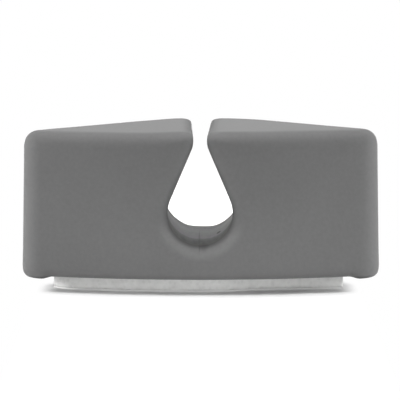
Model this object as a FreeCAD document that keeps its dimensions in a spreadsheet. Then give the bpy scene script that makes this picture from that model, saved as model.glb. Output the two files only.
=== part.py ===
"""Self-adhesive cable clip for one cable, with its foam tape and release liner.

Millimetres, +Z up. The origin is under the middle of the clip, on the surface that it stands on.
The broad front faces -Y, the narrow back faces +Y, and the cable lies along Y.
"""
import math
import os

import FreeCAD
import Part
import Sketcher
from FreeCAD import Rotation, Vector

# Driving dimensions: alias, value, what it is.
SIZES = [
    ("body_width", 25.0, "clip, across the front at its base"),
    ("body_depth", 14.8, "clip, front to back"),
    ("body_height", 10.25, "clip without tape and liner"),
    ("front_radius", 32.0, "gentle bow of the front face, in plan"),
    ("corner_radius", 1.9, "upright front corners, in plan"),
    ("back_radius", 6.5, "where each side turns into the back, in plan"),
    ("back_flat", 1.5, "flat part of the back face, between its two turns"),
    ("mould_draft", 1.0, "degrees, outer walls lean in towards the top"),
    ("top_round", 1.25, "edge between the walls and the top"),
    ("base_round", 0.9, "edge between the walls and the underside"),
    ("bore_radius", 2.3, "cable channel"),
    ("floor_share", 0.236, "rubber left under the channel, as a share of body_height"),
    ("throat_gap", 0.95, "narrowest gap between the jaws"),
    ("throat_drop", 1.0, "narrowest gap, below the top face"),
    ("nose_radius", 1.0, "rounded inner edge of each jaw"),
    ("lip_angle", 8.0, "degrees, jaws open above the throat"),
    ("rim_round", 0.65, "edge of the slot, on the front, back and top faces"),
    ("tape_thick", 0.9, "foam tape"),
    ("tape_inset", 2.05, "tape edge, in from the clip's walls"),
    ("liner_thick", 0.1, "release liner"),
    ("cut_margin", 1.0, "how far the slot's cutter passes each face of the clip"),
]

doc = FreeCAD.newDocument("CableClip")
sheet = doc.addObject("Spreadsheet::Sheet", "Sizes")
for row, (alias, value, note) in enumerate(SIZES, start=1):
    sheet.set(f"A{row}", note)
    sheet.set(f"B{row}", str(value))
    sheet.setAlias(f"B{row}", alias)
doc.recompute()

START, END, CENTRE = range(1, 4)
ORIGIN, UPRIGHT_AXIS = range(-1, -3, -1)
TOUCH = 1e-5


def size(alias):
    """A driving dimension as a number."""
    return float(sheet.get(alias))


def new_body(label, height):
    """A body whose own XY plane lies at a height above the ground."""
    body = doc.addObject("PartDesign::Body", label)
    body.Label = label
    body.setExpression("Placement.Base.z", height)
    return body


def new_sketch(body, name, role):
    """A sketch on one of the body's own origin planes."""
    sketch = body.newObject("Sketcher::SketchObject", name)
    plane = next(item for item in body.Origin.OriginFeatures if item.Role == role)
    sketch.AttachmentSupport = [(plane, "")]
    sketch.MapMode = "FlatFace"
    return sketch


def turned(vector, degrees):
    """A vector turned in the plane of its sketch."""
    return Rotation(Vector(0, 0, 1), degrees).multVec(vector)


def flip(point):
    """The same point on the other side of the upright axis."""
    return Vector(-point.x, point.y, 0)


def line(sketch, start, end):
    """Add a line: its index and which of its ends comes first."""
    return sketch.addGeometry(Part.LineSegment(start, end)), START, END


def arc(sketch, start, centre, end):
    """Add the short arc from start to end: its index and which of its ends comes first."""
    radius = (start - centre).Length
    middle = centre + ((start - centre) + (end - centre)).normalize() * radius
    clockwise = (start - centre).cross(end - centre).z < 0
    points = (end, middle, start) if clockwise else (start, middle, end)
    index = sketch.addGeometry(Part.Arc(*points))
    return (index, END, START) if clockwise else (index, START, END)


def meet(sketch, first, second, kind="Tangent"):
    """The end of one edge meets the start of the next."""
    sketch.addConstraint(Sketcher.Constraint(kind, first[0], first[2], second[0], second[1]))


def bind(sketch, name, expression, *constraint):
    """Add a dimension to a sketch and tie it to the sheet."""
    index = sketch.addConstraint(Sketcher.Constraint(*constraint))
    sketch.renameConstraint(index, name)
    sketch.setExpression(f"Constraints.{name}", expression)


def draw_plan(body, name, inset=None):
    """Plan of the clip: a broad blunt pick. Set in from the walls, it is the die-cut tape's plan."""
    sketch = new_sketch(body, name, "XY_Plane")
    less = f" - Sizes.{inset}" if inset else ""
    by = size(inset) if inset else 0
    front_radius = size("front_radius") - by
    back_radius = size("back_radius") - by
    corner_radius = size("corner_radius")
    front_centre = Vector(0, size("front_radius") - size("body_depth") / 2, 0)
    corner_x = size("body_width") / 2 - corner_radius
    corner_reach = size("front_radius") - corner_radius
    corner_centre = front_centre + Vector(corner_x, -math.sqrt(corner_reach**2 - corner_x**2), 0)
    back_y = size("body_depth") / 2 - by
    back_centre = Vector(size("back_flat") / 2, back_y - back_radius, 0)

    # Each slanted side touches the round of its front corner and the round of the back.
    between = corner_centre - back_centre
    heading = math.atan2(between.y, between.x)
    rounds = size("back_radius") - corner_radius
    side_turn = math.degrees(heading + math.acos(rounds / between.Length))
    outward = turned(Vector(1, 0, 0), side_turn)
    forward = turned(Vector(0, -1, 0), side_turn)
    side_end = back_centre + outward * back_radius
    back_start = back_centre + Vector(0, back_radius, 0)
    if inset:
        # The die leaves a sharp corner where the bowed front meets the slanted side.
        foot = outward * outward.dot(side_end)
        off = outward.dot(front_centre - foot)
        along = forward.dot(front_centre - foot) + math.sqrt(front_radius**2 - off**2)
        front_end = foot + forward * along
        side_start = front_end
    else:
        front_end = front_centre + (corner_centre - front_centre).normalize() * front_radius
        side_start = corner_centre + outward * corner_radius

    front = arc(sketch, flip(front_end), front_centre, front_end)
    right_side = line(sketch, side_start, side_end)
    right_back = arc(sketch, side_end, back_centre, back_start)
    back = line(sketch, back_start, flip(back_start))
    left_back = arc(sketch, flip(back_start), flip(back_centre), flip(side_end))
    left_side = line(sketch, flip(side_end), flip(side_start))
    meet(sketch, right_side, right_back)
    meet(sketch, right_back, back)
    meet(sketch, back, left_back)
    meet(sketch, left_back, left_side)
    if inset:
        meet(sketch, front, right_side, "Coincident")
        meet(sketch, left_side, front, "Coincident")
    else:
        right_corner = arc(sketch, front_end, corner_centre, side_start)
        left_corner = arc(sketch, flip(side_start), flip(corner_centre), flip(front_end))
        meet(sketch, front, right_corner)
        meet(sketch, right_corner, right_side)
        meet(sketch, left_side, left_corner)
        meet(sketch, left_corner, front)
        sketch.addConstraint(Sketcher.Constraint("Equal", right_corner[0], left_corner[0]))

    sketch.addConstraint(Sketcher.Constraint("PointOnObject", front[0], CENTRE, UPRIGHT_AXIS))
    sketch.addConstraint(Sketcher.Constraint("Equal", right_back[0], left_back[0]))
    ends = (back[0], START, back[0], END)
    sketch.addConstraint(Sketcher.Constraint("Symmetric", *ends, UPRIGHT_AXIS))
    sketch.addConstraint(Sketcher.Constraint("Equal", right_side[0], left_side[0]))
    bind(sketch, "front_bow", f"Sizes.front_radius{less}", "Radius", front[0], front_radius)
    bind(
        sketch, "front_centre", "Sizes.front_radius - Sizes.body_depth / 2",
        "DistanceY", ORIGIN, START, front[0], CENTRE, front_centre.y,
    )
    bind(sketch, "back_turn", f"Sizes.back_radius{less}", "Radius", right_back[0], back_radius)
    bind(
        sketch, "back_line", f"Sizes.body_depth / 2{less}",
        "DistanceY", ORIGIN, START, back[0], START, back_y,
    )
    bind(sketch, "back_length", "Sizes.back_flat", "Distance", back[0], size("back_flat"))
    if inset:
        bind(
            sketch, "slant", "clip_plan.Constraints.slant",
            "Angle", right_side[0], math.radians(90 + side_turn),
        )
    else:
        # The tape's plan takes the slant of the sides from here.
        bind(sketch, "corner_turn", "Sizes.corner_radius", "Radius", right_corner[0], corner_radius)
        bind(
            sketch, "corner_place", "Sizes.body_width / 2 - Sizes.corner_radius",
            "DistanceX", ORIGIN, START, right_corner[0], CENTRE, corner_x,
        )
        slant = Sketcher.Constraint("Angle", right_side[0], math.radians(90 + side_turn))
        index = sketch.addConstraint(slant)
        sketch.setDriving(index, False)
        sketch.renameConstraint(index, "slant")
    return sketch


def draw_slot(body, name):
    """Section of the cable slot: round channel, leaning walls, rounded noses and opening lips."""
    sketch = new_sketch(body, name, "XZ_Plane")
    bore_radius = size("bore_radius")
    nose_radius = size("nose_radius")
    bore_centre = Vector(0, size("floor_share") * size("body_height") + bore_radius, 0)
    nose_centre = Vector(
        size("throat_gap") / 2 + nose_radius, size("body_height") - size("throat_drop"), 0
    )
    top = size("body_height") + size("cut_margin")

    # Each wall touches both the bore and the nose, which lie on opposite sides of it.
    between = nose_centre - bore_centre
    rise = math.atan2(between.y, between.x)
    wall_lean = math.degrees(rise - math.acos((bore_radius + nose_radius) / between.Length))
    wall_outward = turned(Vector(1, 0, 0), wall_lean)
    lip_outward = turned(Vector(1, 0, 0), -size("lip_angle"))
    lip_along = turned(Vector(0, 1, 0), -size("lip_angle"))
    wall_start = bore_centre + wall_outward * bore_radius
    wall_end = nose_centre - wall_outward * nose_radius
    lip_start = nose_centre - lip_outward * nose_radius
    lip_end = lip_start + lip_along * ((top - lip_start.y) / lip_along.y)

    bore_bottom = bore_centre - Vector(0, bore_radius, 0)
    bore = (sketch.addGeometry(Part.Arc(flip(wall_start), bore_bottom, wall_start)), START, END)
    right_wall = line(sketch, wall_start, wall_end)
    right_nose = arc(sketch, wall_end, nose_centre, lip_start)
    right_lip = line(sketch, lip_start, lip_end)
    opening = line(sketch, lip_end, flip(lip_end))
    left_lip = line(sketch, flip(lip_end), flip(lip_start))
    left_nose = arc(sketch, flip(lip_start), flip(nose_centre), flip(wall_end))
    left_wall = line(sketch, flip(wall_end), flip(wall_start))
    meet(sketch, bore, right_wall)
    meet(sketch, right_wall, right_nose)
    meet(sketch, right_nose, right_lip)
    meet(sketch, right_lip, opening, "Coincident")
    meet(sketch, opening, left_lip, "Coincident")
    meet(sketch, left_lip, left_nose)
    meet(sketch, left_nose, left_wall)
    meet(sketch, left_wall, bore)

    sketch.addConstraint(Sketcher.Constraint("PointOnObject", bore[0], CENTRE, UPRIGHT_AXIS))
    sketch.addConstraint(Sketcher.Constraint("Equal", right_nose[0], left_nose[0]))
    centres = (right_nose[0], CENTRE, left_nose[0], CENTRE)
    sketch.addConstraint(Sketcher.Constraint("Symmetric", *centres, UPRIGHT_AXIS))
    ends = (right_lip[0], END, left_lip[0], START)
    sketch.addConstraint(Sketcher.Constraint("Symmetric", *ends, UPRIGHT_AXIS))
    bind(sketch, "bore_turn", "Sizes.bore_radius", "Radius", bore[0], bore_radius)
    bind(
        sketch, "bore_place", "Sizes.floor_share * Sizes.body_height + Sizes.bore_radius",
        "DistanceY", ORIGIN, START, bore[0], CENTRE, bore_centre.y,
    )
    bind(sketch, "nose_turn", "Sizes.nose_radius", "Radius", right_nose[0], nose_radius)
    bind(
        sketch, "nose_side", "Sizes.throat_gap / 2 + Sizes.nose_radius",
        "DistanceX", ORIGIN, START, right_nose[0], CENTRE, nose_centre.x,
    )
    bind(
        sketch, "throat_place", "Sizes.body_height - Sizes.throat_drop",
        "DistanceY", ORIGIN, START, right_nose[0], CENTRE, nose_centre.y,
    )
    bind(
        sketch, "lip_slant", "90 - Sizes.lip_angle",
        "Angle", right_lip[0], math.radians(90 - size("lip_angle")),
    )
    bind(
        sketch, "opening_top", "Sizes.body_height + Sizes.cut_margin",
        "DistanceY", ORIGIN, START, right_lip[0], END, top,
    )
    return sketch


def level_edges(shape, height):
    """Names of the edges that lie flat at a height."""
    names = []
    for index, edge in enumerate(shape.Edges, start=1):
        low, high = edge.BoundBox.ZMin, edge.BoundBox.ZMax
        if abs(low - height) < TOUCH and abs(high - height) < TOUCH:
            names.append(f"Edge{index}")
    return names


def round_edges(body, name, base, edges, radius):
    """Round named edges of a feature."""
    fillet = body.newObject("PartDesign::Fillet", name)
    fillet.Base = (base, edges)
    fillet.setExpression("Radius", f"Sizes.{radius}")
    doc.recompute()
    return fillet


def on_skin(shape, point):
    """Whether a point lies on the faces of a shape."""
    return Part.Compound(shape.Faces).distToShape(Part.Vertex(point))[0] < TOUCH


def make_clip_body():
    """The rubber moulding: drafted block, rounded edges, cable slot and the slot's rounded rim."""
    moulding = new_body("clip_body", "Sizes.liner_thick + Sizes.tape_thick")
    plan = draw_plan(moulding, "clip_plan")
    block = moulding.newObject("PartDesign::Pad", "clip_block")
    block.Profile = plan
    block.setExpression("Length", "Sizes.body_height")
    block.setExpression("TaperAngle", "-Sizes.mould_draft")
    doc.recompute()
    top_edges = level_edges(block.Shape, size("body_height"))
    topped = round_edges(moulding, "top_edge", block, top_edges, "top_round")
    base_edges = level_edges(topped.Shape, 0)
    based = round_edges(moulding, "base_edge", topped, base_edges, "base_round")
    slot = moulding.newObject("PartDesign::Pocket", "cable_slot")
    slot.Profile = draw_slot(moulding, "slot_section")
    slot.Midplane = True
    slot.setExpression("Length", "Sizes.body_depth + 2 * Sizes.cut_margin")
    doc.recompute()

    # The rim is where the slot's cutter breaks through the block's skin.
    rim_edges = []
    for index, edge in enumerate(slot.Shape.Edges, start=1):
        middle = edge.valueAt(edge.getParameterByLength(edge.Length / 2))
        if on_skin(based.Shape, middle) and on_skin(slot.AddSubShape, middle):
            rim_edges.append(f"Edge{index}")
    round_edges(moulding, "slot_rim", slot, rim_edges, "rim_round")
    return moulding


def make_sheet_piece(label, height, thickness):
    """A flat piece die cut to the tape's plan."""
    piece = new_body(label, height)
    layer = piece.newObject("PartDesign::Pad", f"{label}_layer")
    layer.Profile = draw_plan(piece, f"{label}_plan", "tape_inset")
    layer.setExpression("Length", thickness)
    doc.recompute()
    return piece


def main():
    """Build every piece, check it and write it out."""
    pieces = [
        make_clip_body(),
        make_sheet_piece("foam_tape", "Sizes.liner_thick", "Sizes.tape_thick"),
        make_sheet_piece("release_liner", "0", "Sizes.liner_thick"),
    ]
    failed = [item.Name for item in doc.Objects if {"Invalid", "Error"} & set(item.State)]
    if failed:
        raise RuntimeError(f"These did not build: {failed}")
    for piece in pieces:
        if piece.Shape.isNull() or not piece.Shape.isValid() or len(piece.Shape.Solids) != 1:
            raise RuntimeError(f"{piece.Label} is not one sound solid")
    os.makedirs("parts", exist_ok=True)
    for piece in pieces:
        piece.Shape.exportStep(f"parts/{piece.Label}.step")
        print(piece.Label, round(piece.Shape.Volume, 2), piece.Shape.BoundBox)


main()
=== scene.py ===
"""Self-adhesive cable clip: grey rubber moulding on a foam tape pad with its release liner.

Metres, +Z up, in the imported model's frame. The broad front faces -Y and the cable lies along Y.
Pieces are shaped and patterned in millimetres, and brought to metres at the end.
"""
import math

import bmesh
import bpy
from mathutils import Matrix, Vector, kdtree, noise


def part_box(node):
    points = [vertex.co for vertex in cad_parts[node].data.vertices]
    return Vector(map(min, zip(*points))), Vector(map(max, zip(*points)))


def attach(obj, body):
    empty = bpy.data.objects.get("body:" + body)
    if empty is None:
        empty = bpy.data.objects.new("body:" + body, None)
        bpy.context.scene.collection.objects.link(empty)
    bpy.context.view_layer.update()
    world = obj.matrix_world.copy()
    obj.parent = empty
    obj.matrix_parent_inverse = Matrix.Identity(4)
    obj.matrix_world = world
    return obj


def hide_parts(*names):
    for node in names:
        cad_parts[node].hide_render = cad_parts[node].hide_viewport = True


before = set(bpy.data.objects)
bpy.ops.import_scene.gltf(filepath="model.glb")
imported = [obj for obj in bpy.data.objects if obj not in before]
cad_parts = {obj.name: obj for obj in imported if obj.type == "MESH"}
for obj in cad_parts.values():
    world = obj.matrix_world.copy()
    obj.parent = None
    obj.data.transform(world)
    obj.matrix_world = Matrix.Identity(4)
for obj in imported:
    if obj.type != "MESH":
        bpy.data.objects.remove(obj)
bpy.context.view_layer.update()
scene = bpy.context.scene
scene.view_settings.view_transform = "Standard"

# Camera. The clip is seen straight from the front and a little from above, from about 20 cm away
# through a long lens, so that the top's far edge just rises over its near edge.
MM = 0.001
CAMERA_PLACE = Vector((-0.055, -208.4, 27.8)) * MM
CAMERA_PITCH = math.radians(6.008)
CAMERA_LENS = 265.1
FILM_WIDTH = 36.0
NEAR_LIMIT = 5.0 * MM

camera_data = bpy.data.cameras.new("camera")
camera_data.lens = CAMERA_LENS
camera_data.sensor_width = FILM_WIDTH
camera_data.clip_start = NEAR_LIMIT
camera = bpy.data.objects.new("camera", camera_data)
camera.location = CAMERA_PLACE
camera.rotation_euler = (math.pi / 2 - CAMERA_PITCH, 0.0, 0.0)
scene.collection.objects.link(camera)
scene.camera = camera

# Clip body. One soft rubber moulding, grey right through: a low block with a bowed front, slanted
# sides and a keyhole slot that grips the cable. It comes out of its mould with a matt skin, softly
# rounded edges, and a slot that opens towards the back, where the slot's core was drawn out.
MERGE_REACH = 0.002
SKIN_VOXEL = 0.145
SKIN_PASSES = 5
# A slot's floor level, how deep the floor is cut flat, channel radius, half its throat, the noses'
# level and radius, and the lips' angle.
SLOT_AS_PACKED = (3.42, 0.0, 2.3, 0.475, 10.25, 1.0, 8.0)
SLOT_AT_FRONT = (3.42, 0.0, 2.205, 0.43, 10.58, 1.3, 8.0)
SLOT_AT_BACK = (3.27, 0.14, 2.9, 0.70, 10.58, 1.3, 8.0)
SLOT_TOP = 11.25
FLOOR_BLEND = 0.08
ARC_STEPS = 60
SLOT_SWAY = (-0.055, 0.04)
SLOT_TWIST = 0.035
JAW_SAG = 0.09
EDGE_LEVEL = 2.2
EDGE_FILL = 0.15
MIDDLE_SHARE = 0.25
END_DROOP = 0.15
CORNER_FILL = 0.09
FILL_CURVE = 1.5
# Each of these pairs is where a change of shape starts and where it is full.
SLOT_REACH = (3.2, 0.0)
TWIST_LEVELS = (9.0, 6.0)
JAW_ACROSS = (-1.2, -4.2)
JAW_LEVELS = (5.0, 10.0)
END_ACROSS = (10.3, 11.1)
DROOP_LEVELS = (EDGE_LEVEL, 1.0)
CORNER_ACROSS = (8.6, 10.4)
CORNER_LEVELS = (8.6, 9.8)


def link_mesh(name, work):
    """Make an object at the origin from a bmesh, and link it to the scene."""
    mesh = bpy.data.meshes.new(name)
    work.to_mesh(mesh)
    work.free()
    piece = bpy.data.objects.new(name, mesh)
    scene.collection.objects.link(piece)
    return piece


def node_in_mm(node):
    """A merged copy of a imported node's mesh, as a bmesh in millimetres."""
    work = bmesh.new()
    work.from_mesh(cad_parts[node].data)
    bmesh.ops.remove_doubles(work, verts=work.verts, dist=MERGE_REACH * MM)
    bmesh.ops.scale(work, vec=(1 / MM, 1 / MM, 1 / MM), verts=work.verts)
    return work


def smooth_once(work):
    """One smoothing pass over a whole bmesh."""
    bmesh.ops.smooth_vert(
        work, verts=work.verts, factor=0.5, use_axis_x=True, use_axis_y=True, use_axis_z=True
    )


def even_skin(piece, voxel, passes):
    """Give a solid a skin of even small quads, and return it as a smoothed bmesh."""
    remesh = piece.modifiers.new("even_skin", "REMESH")
    remesh.mode = "VOXEL"
    remesh.voxel_size = voxel
    bpy.context.view_layer.update()
    graph = bpy.context.evaluated_depsgraph_get()
    mesh = bpy.data.meshes.new_from_object(piece.evaluated_get(graph))
    piece.modifiers.clear()
    work = bmesh.new()
    work.from_mesh(mesh)
    bpy.data.meshes.remove(mesh)
    for step in range(passes):
        smooth_once(work)
    work.normal_update()
    return work


def finish_skin(piece, work):
    """Write a bmesh in millimetres back to its piece, in metres and smooth shaded."""
    bmesh.ops.scale(work, vec=(MM, MM, MM), verts=work.verts)
    for face in work.faces:
        face.smooth = True
    work.to_mesh(piece.data)
    work.free()


def held(value, low, high):
    """A value kept between a low and a high one."""
    return min(max(value, low), high)


def fade(value, start, full):
    """Smooth step from 0 at the start to 1 where it is full, which may lie below the start."""
    share = held((value - start) / (full - start), 0.0, 1.0)
    return share * share * (3.0 - 2.0 * share)


def slot_profile(floor, flat, bore, gap, nose_level, nose, lip_angle):
    """Points up the right side of a slot's section: channel, slanted wall, nose and lip."""
    centre = floor + bore - flat
    across, rise = gap + nose, nose_level - centre
    lean = math.asin((bore + nose) / math.hypot(across, rise)) - math.atan2(across, rise)
    lip = math.radians(lip_angle)
    points = []
    for step in range(ARC_STEPS):
        turn = (lean + math.pi / 2) * step / ARC_STEPS
        depth = centre - bore * math.cos(turn) - floor
        level = floor + 0.5 * (depth + math.hypot(depth, FLOOR_BLEND))
        points.append(Vector((bore * math.sin(turn), 0.0, level)))
    low = Vector((bore * math.cos(lean), 0.0, centre + bore * math.sin(lean)))
    high = Vector((across - nose * math.cos(lean), 0.0, nose_level - nose * math.sin(lean)))
    points += [low.lerp(high, step / ARC_STEPS) for step in range(ARC_STEPS)]
    for step in range(ARC_STEPS):
        turn = (lean + lip) * step / ARC_STEPS - lean
        out, up = nose * math.cos(turn), nose * math.sin(turn)
        points.append(Vector((across - out, 0.0, nose_level + up)))
    start = Vector((across - nose * math.cos(lip), 0.0, nose_level + nose * math.sin(lip)))
    end = start + Vector((math.tan(lip), 0.0, 1.0)) * (SLOT_TOP - start.z)
    points += [start.lerp(end, step / ARC_STEPS) for step in range(ARC_STEPS + 1)]
    return points


clip = link_mesh("rubber_clip", node_in_mm("clip_body"))
clip_low, clip_high = (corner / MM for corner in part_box("clip_body"))
work = even_skin(clip, SKIN_VOXEL, SKIN_PASSES)

# The slot's section runs from its tight front shape to its wider, flatter back shape. An edge's
# fullness is 1 halfway round it, and 0 on the faces beside it.
packed, front, back = (
    slot_profile(*sizes) for sizes in (SLOT_AS_PACKED, SLOT_AT_FRONT, SLOT_AT_BACK)
)
finder = kdtree.KDTree(len(packed))
for index, point in enumerate(packed):
    finder.insert(point, index)
finder.balance()
for vert in work.verts:
    place = vert.co.copy()
    across = abs(place.x)
    side = 1.0 if place.x >= 0.0 else -1.0
    along = (place.y - clip_low.y) / (clip_high.y - clip_low.y)
    point, index, reach = finder.find(Vector((across, 0.0, place.z)))
    shift = front[index].lerp(back[index], along) - packed[index]
    shift.x = shift.x * side + SLOT_SWAY[0] + (SLOT_SWAY[1] - SLOT_SWAY[0]) * along
    shift.z -= SLOT_TWIST * place.x * along * fade(place.z, *TWIST_LEVELS)
    vert.co += shift * fade(reach, *SLOT_REACH)
    # The left jaw has set a little lower than the right one.
    vert.co.z -= JAW_SAG * fade(place.x, *JAW_ACROSS) * fade(place.z, *JAW_LEVELS)
    # The base edge is crisper than the others, and hangs a little where no tape holds it up.
    if place.z < EDGE_LEVEL:
        at_end = fade(across, *END_ACROSS)
        fill = EDGE_FILL * (MIDDLE_SHARE + (1.0 - MIDDLE_SHARE) * at_end)
        fullness = 2.0 * abs(vert.normal.z) * math.hypot(vert.normal.x, vert.normal.y)
        vert.co += vert.normal * (fill * fullness ** FILL_CURVE)
        vert.co.z -= END_DROOP * at_end * fade(place.z, *DROOP_LEVELS)
    # The two upper ends of the jaws are also a little fuller than their fillets.
    at_tip = fade(place.z, *CORNER_LEVELS) * fade(across, *CORNER_ACROSS)
    fullness = 2.0 * abs(vert.normal.z * vert.normal.x)
    vert.co += vert.normal * (CORNER_FILL * at_tip * fullness ** FILL_CURVE)
    vert.co.x = held(vert.co.x, clip_low.x, clip_high.x)
    vert.co.y = held(vert.co.y, clip_low.y, clip_high.y)
smooth_once(work)
finish_skin(clip, work)


def new_group(name, inputs, outputs):
    """An empty shader node group with named inputs and outputs, and its two end nodes."""
    group = bpy.data.node_groups.new(name, "ShaderNodeTree")
    for label, kind, value in inputs:
        socket = group.interface.new_socket(label, in_out="INPUT", socket_type=kind)
        if value is not None:
            socket.default_value = value
    for label, kind in outputs:
        group.interface.new_socket(label, in_out="OUTPUT", socket_type=kind)
    return group, group.nodes.new("NodeGroupInput"), group.nodes.new("NodeGroupOutput")


def put(tree, kind, **settings):
    """Add a node to a tree, with its properties set."""
    node = tree.nodes.new(kind)
    for label, value in settings.items():
        setattr(node, label, value)
    return node


def join(tree, source, target):
    """Link an output to an input."""
    tree.links.new(source, target)


def maths(tree, operation, first, second):
    """A Math node on two inputs, each a socket or a number; its output."""
    node = put(tree, "ShaderNodeMath", operation=operation)
    for slot, value in zip(node.inputs, (first, second)):
        if isinstance(value, bpy.types.NodeSocket):
            join(tree, value, slot)
        else:
            slot.default_value = value
    return node.outputs["Value"]


# Shared effect: place on the piece in millimetres, so that pattern scales are per millimetre.
millimetres, _, ends_out = new_group("place_in_mm", [], [("Place", "NodeSocketVector")])
place = put(millimetres, "ShaderNodeTexCoord")
to_mm = put(millimetres, "ShaderNodeVectorMath", operation="SCALE")
to_mm.inputs["Scale"].default_value = 1 / MM
join(millimetres, place.outputs["Object"], to_mm.inputs[0])
join(millimetres, to_mm.outputs["Vector"], ends_out.inputs["Place"])

# Shared effect: tone that drifts slowly and grains finely round 1, as in any moulded or cut stock.
tones, ends_in, ends_out = new_group(
    "drifting_tone",
    [
        ("Place", "NodeSocketVector", None),
        ("Drift", "NodeSocketFloat", 0.05),
        ("Drift Scale", "NodeSocketFloat", 0.25),
        ("Grain", "NodeSocketFloat", 0.05),
        ("Grain Scale", "NodeSocketFloat", 4.0),
    ],
    [("Tone", "NodeSocketFloat")],
)
total = 1.0
for label, detail in (("Drift", 2.0), ("Grain", 3.0)):
    pattern = put(tones, "ShaderNodeTexNoise")
    pattern.inputs["Detail"].default_value = detail
    join(tones, ends_in.outputs["Place"], pattern.inputs["Vector"])
    join(tones, ends_in.outputs[f"{label} Scale"], pattern.inputs["Scale"])
    swing = maths(tones, "SUBTRACT", pattern.outputs["Fac"], 0.5)
    share = maths(tones, "MULTIPLY", swing, ends_in.outputs[label])
    total = maths(tones, "ADD", share, total)
join(tones, total, ends_out.inputs["Tone"])


def new_material(name, roughness):
    """A material: its tree, its Principled node and its place in millimetres."""
    material = bpy.data.materials.new(name)
    material.use_nodes = True
    tree = material.node_tree
    shader = tree.nodes["Principled BSDF"]
    shader.inputs["Roughness"].default_value = roughness
    where = put(tree, "ShaderNodeGroup", node_tree=millimetres)
    return material, tree, shader, where.outputs["Place"]


def toned(tree, place, colour, drift, drift_scale, grain, grain_scale):
    """A colour with drifting tone; the output that carries it."""
    tone = put(tree, "ShaderNodeGroup", node_tree=tones)
    join(tree, place, tone.inputs["Place"])
    tone.inputs["Drift"].default_value = drift
    tone.inputs["Drift Scale"].default_value = drift_scale
    tone.inputs["Grain"].default_value = grain
    tone.inputs["Grain Scale"].default_value = grain_scale
    tinted = put(tree, "ShaderNodeVectorMath", operation="SCALE")
    tinted.inputs[0].default_value = colour
    join(tree, tone.outputs["Tone"], tinted.inputs["Scale"])
    return tinted.outputs["Vector"]


def bumped(tree, shader, height, distance, strength):
    """Feed a height to the shader's normal."""
    bump = put(tree, "ShaderNodeBump")
    bump.inputs["Distance"].default_value = distance
    bump.inputs["Strength"].default_value = strength
    join(tree, height, bump.inputs["Height"])
    join(tree, bump.outputs["Normal"], shader.inputs["Normal"])


def grains(tree, place, scale, detail):
    """A noise height at a scale per millimetre."""
    pattern = put(tree, "ShaderNodeTexNoise")
    pattern.inputs["Scale"].default_value = scale
    pattern.inputs["Detail"].default_value = detail
    join(tree, place, pattern.inputs["Vector"])
    return pattern.outputs["Fac"]


def spread(tree, value, low, high):
    """How far a value lies from a low one to a high one, as a share from 0 to 1."""
    share = put(tree, "ShaderNodeMapRange")
    share.inputs["From Min"].default_value = low
    share.inputs["From Max"].default_value = high
    join(tree, value, share.inputs["Value"])
    return share.outputs["Result"]


def falling(tree, value, inner, outer):
    """A mask that eases from 1 at an inner value down to 0 at an outer one."""
    mask = put(tree, "ShaderNodeMapRange", interpolation_type="SMOOTHSTEP")
    mask.inputs["From Min"].default_value = inner
    mask.inputs["From Max"].default_value = outer
    mask.inputs["To Min"].default_value = 1.0
    mask.inputs["To Max"].default_value = 0.0
    join(tree, value, mask.inputs["Value"])
    return mask.outputs["Result"]


def near(tree, place, centre, stretch, inner, outer):
    """A mask that is 1 within an inner distance of a point and 0 beyond an outer one.

    The stretch widens it along an axis where it is below 1, and without end where it is 0."""
    spot = put(tree, "ShaderNodeMapping", vector_type="POINT")
    join(tree, place, spot.inputs["Vector"])
    spot.inputs["Scale"].default_value = stretch
    spot.inputs["Location"].default_value = [-c * s for c, s in zip(centre, stretch)]
    length = put(tree, "ShaderNodeVectorMath", operation="LENGTH")
    join(tree, spot.outputs["Vector"], length.inputs[0])
    return falling(tree, length.outputs["Value"], inner, outer)


def faced(tree, axis, sign):
    """A mask of the faces towards one end of an axis: 1 where they face it, 0 where they don't."""
    parts = put(tree, "ShaderNodeSeparateXYZ")
    join(tree, put(tree, "ShaderNodeNewGeometry").outputs["Normal"], parts.inputs["Vector"])
    return maths(tree, "MAXIMUM", maths(tree, "MULTIPLY", parts.outputs[axis], sign), 0.0)


def without(tree, mask, other):
    """A mask less whatever another mask covers."""
    return maths(tree, "MULTIPLY", mask, maths(tree, "SUBTRACT", 1.0, other))


def darkened(tree, colour, mask, share):
    """A colour taken down by a share where a mask is 1, or up where the share is below 0."""
    keep = maths(tree, "SUBTRACT", 1.0, maths(tree, "MULTIPLY", mask, share))
    scaled = put(tree, "ShaderNodeVectorMath", operation="SCALE")
    join(tree, colour, scaled.inputs[0])
    join(tree, keep, scaled.inputs["Scale"])
    return scaled.outputs["Vector"]


# The rubber's skin copies the fine spark-eroded grain of its mould. In the channel, the core has
# left a parting line and light drag marks along the cable, and carries painted shade and light.
RUBBER_GREY = (0.125, 0.125, 0.125)
CHANNEL_END = 7.5
PLAIN_TONE = 0.5
# Places along the channel with their tone. Below the plain tone it is painted shade, above it
# painted light.
CHANNEL_PAINTED_SHADING = (
    (-7.2, 0.5), (-6.95, 0.42), (-6.6, 0.24), (-5.8, 0.2), (-4.5, 0.26), (-3.1, 0.42), (-1.8, 0.85),
    (0.9, 0.9), (2.3, 1.0), (3.6, 0.93), (5.0, 0.68), (6.3, 0.6), (7.0, 0.5),
)
DRAG_STRETCH = (3.0, 0.35, 3.0)
DRAG_LEVELS = (0.35, 0.65)
DRAG_SHARE = 0.22
PARTING_DEPTH = 2.0
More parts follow.
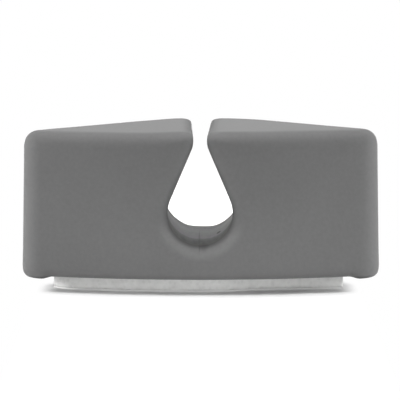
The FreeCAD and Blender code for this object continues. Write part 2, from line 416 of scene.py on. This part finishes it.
# The centre of each mark, its stretch, and the distances at which it starts to fade and ends.
CHANNEL_WALL = ((0.0, 0.0, 5.8), (1.0, 0.02, 1.0), 2.8, 3.2)
FRONT_RIM = ((0.0, -7.6, 0.0), (0.0, 1.0, 0.0), 0.9, 1.5)
PARTING_LINE = ((-0.1, -2.7, 3.38), (1.0, 0.012, 0.1), 0.03, 0.09)
DARK_SPECK = ((1.27, -0.7, 3.63), (1.0, 0.22, 0.5), 0.09, 0.2)
FLOOR_MOUTH_SHADE = ((0.2, -6.4, 3.42), (1.0, 0.35, 0.6), 0.1, 0.5)
UNDERSIDE_SHADE = ((0.0, 0.0, 0.7), (0.0, 0.0, 1.0), 0.2, 0.45)
OVER_TAPE = ((0.0, 0.0, 0.0), (1.0, 0.0, 0.0), 10.2, 10.8)
SLOT_EDGE = ((0.0, 0.0, 5.62), (1.0, 0.0, 1.0), 2.75, 3.35)
SLOT_INSIDE = ((0.0, 0.0, 5.62), (1.0, 0.0, 1.0), 2.3, 2.6)
LOWER_FRONT = ((0.0, -7.6, 2.6), (0.25, 1.0, 0.5), 0.9, 1.6)

rubber, tree, shader, place = new_material("moulded_rubber", roughness=0.68)
shader.inputs["Specular IOR Level"].default_value = 0.28
shader.inputs["Sheen Weight"].default_value = 0.1
shader.inputs["Sheen Roughness"].default_value = 0.4
colour = toned(
    tree, place, RUBBER_GREY, drift=0.12, drift_scale=0.22, grain=0.2, grain_scale=4.0
)
channel = near(tree, place, *CHANNEL_WALL)
depth = put(tree, "ShaderNodeSeparateXYZ")
join(tree, place, depth.inputs["Vector"])
tone = put(tree, "ShaderNodeValToRGB")
stops = tone.color_ramp.elements
stops[0].color = stops[1].color = (PLAIN_TONE, PLAIN_TONE, PLAIN_TONE, 1.0)
for level, grey in CHANNEL_PAINTED_SHADING:
    stops.new((level + CHANNEL_END) / (2.0 * CHANNEL_END)).color = (grey, grey, grey, 1.0)
tone.color_ramp.interpolation = "EASE"
join(tree, spread(tree, depth.outputs["Y"], -CHANNEL_END, CHANNEL_END), tone.inputs["Fac"])
painted_shading_and_drag = maths(tree, "SUBTRACT", PLAIN_TONE, tone.outputs["Color"])
painted_shading_and_drag = maths(tree, "MULTIPLY", painted_shading_and_drag, 1 / PLAIN_TONE)
drag_place = put(tree, "ShaderNodeMapping", vector_type="POINT")
drag_place.inputs["Scale"].default_value = DRAG_STRETCH
join(tree, place, drag_place.inputs["Vector"])
drag = grains(tree, drag_place.outputs["Vector"], scale=1.0, detail=3.0)
drag = without(tree, spread(tree, drag, *DRAG_LEVELS), near(tree, place, *FRONT_RIM))
painted_shading_and_drag = maths(tree, "ADD", painted_shading_and_drag, maths(tree, "MULTIPLY", drag, DRAG_SHARE))
# Painted shade and painted light along the channel, with the drag marks, inside the channel only.
colour = darkened(tree, colour, maths(tree, "MULTIPLY", channel, painted_shading_and_drag), share=1.0)
parting = near(tree, place, *PARTING_LINE)
colour = darkened(tree, colour, parting, share=0.35)
colour = darkened(tree, colour, near(tree, place, *DARK_SPECK), share=0.9)
# A spot of painted shade on the channel floor just inside its front.
colour = darkened(tree, colour, near(tree, place, *FLOOR_MOUTH_SHADE), share=0.35)
# Upward faces are painted a little lighter, as painted light from above, and the underside of the
# base's ends is painted darker, as painted shade.
colour = darkened(tree, colour, faced(tree, "Z", 1.0), share=-0.1)
below = without(tree, near(tree, place, *UNDERSIDE_SHADE), near(tree, place, *OVER_TAPE))
colour = darkened(tree, colour, below, share=0.5)
# The lower half of the slot's front rim is painted paler, a painted highlight on its rounded edge.
rim_highlight = maths(
    tree, "MULTIPLY", near(tree, place, *SLOT_EDGE), near(tree, place, *LOWER_FRONT)
)
rim_highlight = without(tree, rim_highlight, near(tree, place, *SLOT_INSIDE))
colour = darkened(tree, colour, rim_highlight, share=-0.26)
join(tree, colour, shader.inputs["Base Color"])
skin = grains(tree, place, scale=9.0, detail=2.0)
marked = maths(tree, "SUBTRACT", skin, maths(tree, "MULTIPLY", parting, PARTING_DEPTH))
bumped(tree, shader, marked, distance=0.006 * MM, strength=0.6)
clip.data.materials.clear()
clip.data.materials.append(rubber)
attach(clip, "root")
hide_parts("clip_body")

# Foam tape. Double-sided mounting tape of pale closed-cell foam, die cut to the clip's outline and
# stuck on with its own adhesive. The die leaves a slightly ragged edge of opened cells, and this
# pad is cut a little askew: short at its right end, and set back along parts of its front.
FOAM_VOXEL = 0.11
FOAM_PASSES = 2
FOAM_SWELL = 0.07
CELL_DEPTH = 0.03
CELL_SCALE = 3.2
RIGHT_SHARE = 0.964
ASKEW_DEPTH = 0.65
LEFT_CORNER = 0.8
# Each of these pairs is where the cut starts to stray and where it strays in full.
ASKEW_FROM_LEFT = (0.5, 4.5)
ASKEW_FROM_RIGHT = (10.5, 6.5)
LEFT_ACROSS = (-9.2, -10.5)
FRONT_HALF = (0.0, -5.0)


def cut_askew(work):
    """Shorten the right end, and set back the right front edge and the left front corner."""
    for vert in work.verts:
        place = vert.co.copy()
        if place.x > 0.0:
            vert.co.x = place.x * RIGHT_SHARE
        askew = fade(place.x, *ASKEW_FROM_LEFT) * fade(place.x, *ASKEW_FROM_RIGHT)
        setback = ASKEW_DEPTH * askew + LEFT_CORNER * fade(place.x, *LEFT_ACROSS)
        vert.co.y += setback * fade(place.y, *FRONT_HALF)


tape = link_mesh("foam_pad", node_in_mm("foam_tape"))
tape_low, tape_high = (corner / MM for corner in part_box("foam_tape"))
work = even_skin(tape, FOAM_VOXEL, FOAM_PASSES)
for vert in work.verts:
    side = 1.0 - abs(vert.normal.z)
    cell = noise.noise(vert.co * CELL_SCALE)
    vert.co += vert.normal * (side * (CELL_DEPTH * cell + FOAM_SWELL))
    vert.co.z = held(vert.co.z, tape_low.z, tape_high.z)
cut_askew(work)
finish_skin(tape, work)

# The foam's front edge is painted paler towards its bottom: partly the adhesive film on its lower
# side showing through, and partly painted light.
FOAM_WHITE = (0.8, 0.8, 0.79)
FOAM_CELLS = 2.8
PIT_WALLS = (0.15, 0.45)
FILM_AND_PAINTED_LIGHT = ((0.0, 0.0, 0.1), (0.0, 0.0, 1.0), 0.05, 0.85)
foam, tree, shader, place = new_material("cut_foam", roughness=0.9)
shader.inputs["Specular IOR Level"].default_value = 0.2
colour = toned(tree, place, FOAM_WHITE, drift=0.1, drift_scale=0.5, grain=0.3, grain_scale=1.8)
cells = put(tree, "ShaderNodeTexVoronoi")
cells.inputs["Scale"].default_value = FOAM_CELLS
join(tree, place, cells.inputs["Vector"])
pits = falling(tree, cells.outputs["Distance"], *PIT_WALLS)
colour = darkened(tree, colour, pits, share=0.06)
film_and_painted_light = near(tree, place, *FILM_AND_PAINTED_LIGHT)
film_and_painted_light = maths(tree, "MULTIPLY", film_and_painted_light, faced(tree, "Y", -1.0))
colour = darkened(tree, colour, film_and_painted_light, share=-0.2)
join(tree, colour, shader.inputs["Base Color"])
bumped(tree, shader, cells.outputs["Distance"], distance=0.05 * MM, strength=0.5)
tape.data.materials.clear()
tape.data.materials.append(foam)
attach(tape, "root")
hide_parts("foam_tape")

# Release liner. Smooth silicone-coated paper that covers the tape's lower adhesive until the clip
# is stuck down. It is die cut with the tape, and has paper's faint fibre clouding on it.
LINER_WHITE = (0.92, 0.92, 0.91)
work = node_in_mm("release_liner")
cut_askew(work)
bmesh.ops.scale(work, vec=(MM, MM, MM), verts=work.verts)
sheet = link_mesh("liner_sheet", work)
liner, tree, shader, place = new_material("coated_paper", roughness=0.4)
colour = toned(tree, place, LINER_WHITE, drift=0.05, drift_scale=0.4, grain=0.05, grain_scale=6.0)
# Its front-facing edge is painted a little lighter, as painted light.
colour = darkened(tree, colour, faced(tree, "Y", -1.0), share=-0.06)
join(tree, colour, shader.inputs["Base Color"])
fibres = grains(tree, place, scale=5.0, detail=3.0)
bumped(tree, shader, fibres, distance=0.01 * MM, strength=0.3)
sheet.data.materials.clear()
sheet.data.materials.append(liner)
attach(sheet, "root")
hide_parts("release_liner")

# Stage. A white table top that keeps the clip's shadow and is plain white further out, with soft
# boxes above, behind, in front and to both sides. Two small cards light the tape's front edge and
# the back of the slot.
TABLE_SIZE = 2.0
TABLE_WHITE = (1.0, 1.0, 1.0, 1.0)
TABLE_SEEN = (0.98, 0.98, 0.98, 1.0)
SHADOW_ROUND = ((0.0, 0.0, 0.0), (1.0, 1.0, 1.0), 45.0, 110.0)
SHADOW_ACROSS = ((-0.2, 0.0, 0.0), (1.0, 0.0, 0.0), 9.6, 11.3)
FILL_STRENGTH = 0.036
AIM = Vector((0.0, 0.0, 0.01))
# Each lamp's name, place, width, height and power, in metres and watts.
LAMPS = (
    ("left_box", (-0.5, 0.02, 0.1), 0.4, 0.16, 2.2),
    ("right_box", (0.5, 0.02, 0.1), 0.4, 0.16, 1.95),
    ("front_box", (0.0, -0.6, 0.05), 0.6, 0.08, 0.2),
    ("high_box", (0.0, -0.28, 0.4), 0.6, 0.3, 0.4),
    ("top_box", (0.0, 0.04, 0.45), 0.5, 0.4, 2.7),
    ("back_box", (0.0, 0.55, 0.18), 0.6, 0.28, 0.3),
    ("low_card", (0.001, -0.0135, 0.0006), 0.026, 0.0008, 0.00029),
    ("slot_card", (0.0, 0.05, 0.0085), 0.02, 0.005, 0.0028),
)


def shown_as(tree, working, shown):
    """A shader that lights the object as the first one, and looks to the camera like the second."""
    rays = put(tree, "ShaderNodeLightPath")
    choose = put(tree, "ShaderNodeMixShader")
    join(tree, rays.outputs["Is Camera Ray"], choose.inputs["Fac"])
    join(tree, working, choose.inputs[1])
    join(tree, shown, choose.inputs[2])
    return choose.outputs["Shader"]


work = bmesh.new()
bmesh.ops.create_grid(work, x_segments=1, y_segments=1, size=TABLE_SIZE)
floor = link_mesh("table_top", work)
paper, tree, shader, place = new_material("white_table", roughness=0.9)
tree.nodes.remove(shader)
lit = put(tree, "ShaderNodeBsdfDiffuse")
lit.inputs["Color"].default_value = TABLE_WHITE
seen = put(tree, "ShaderNodeBsdfDiffuse")
seen.inputs["Color"].default_value = TABLE_SEEN
far_white = put(tree, "ShaderNodeEmission")
far_white.inputs["Strength"].default_value = 1.0
shadowed = near(tree, place, *SHADOW_ROUND)
shadowed = maths(tree, "MULTIPLY", shadowed, near(tree, place, *SHADOW_ACROSS))
view = put(tree, "ShaderNodeMixShader")
join(tree, shadowed, view.inputs["Fac"])
join(tree, far_white.outputs["Emission"], view.inputs[1])
join(tree, seen.outputs["BSDF"], view.inputs[2])
surface = shown_as(tree, lit.outputs["BSDF"], view.outputs["Shader"])
join(tree, surface, tree.nodes["Material Output"].inputs["Surface"])
floor.data.materials.append(paper)

world = bpy.data.worlds.new("studio")
scene.world = world
world.use_nodes = True
tree = world.node_tree
tree.nodes.clear()
fill = put(tree, "ShaderNodeBackground")
fill.inputs["Color"].default_value = TABLE_WHITE
fill.inputs["Strength"].default_value = FILL_STRENGTH
white = put(tree, "ShaderNodeBackground")
white.inputs["Color"].default_value = TABLE_WHITE
surround = shown_as(tree, fill.outputs["Background"], white.outputs["Background"])
join(tree, surround, put(tree, "ShaderNodeOutputWorld").inputs["Surface"])

for name, spot, width, height, power in LAMPS:
    data = bpy.data.lights.new(name, "AREA")
    data.shape = "RECTANGLE"
    data.size = width
    data.size_y = height
    data.energy = power
    lamp = bpy.data.objects.new(name, data)
    lamp.location = spot
    lamp.rotation_euler = (AIM - Vector(spot)).to_track_quat("-Z", "Y").to_euler()
    lamp.visible_camera = False
    scene.collection.objects.link(lamp)
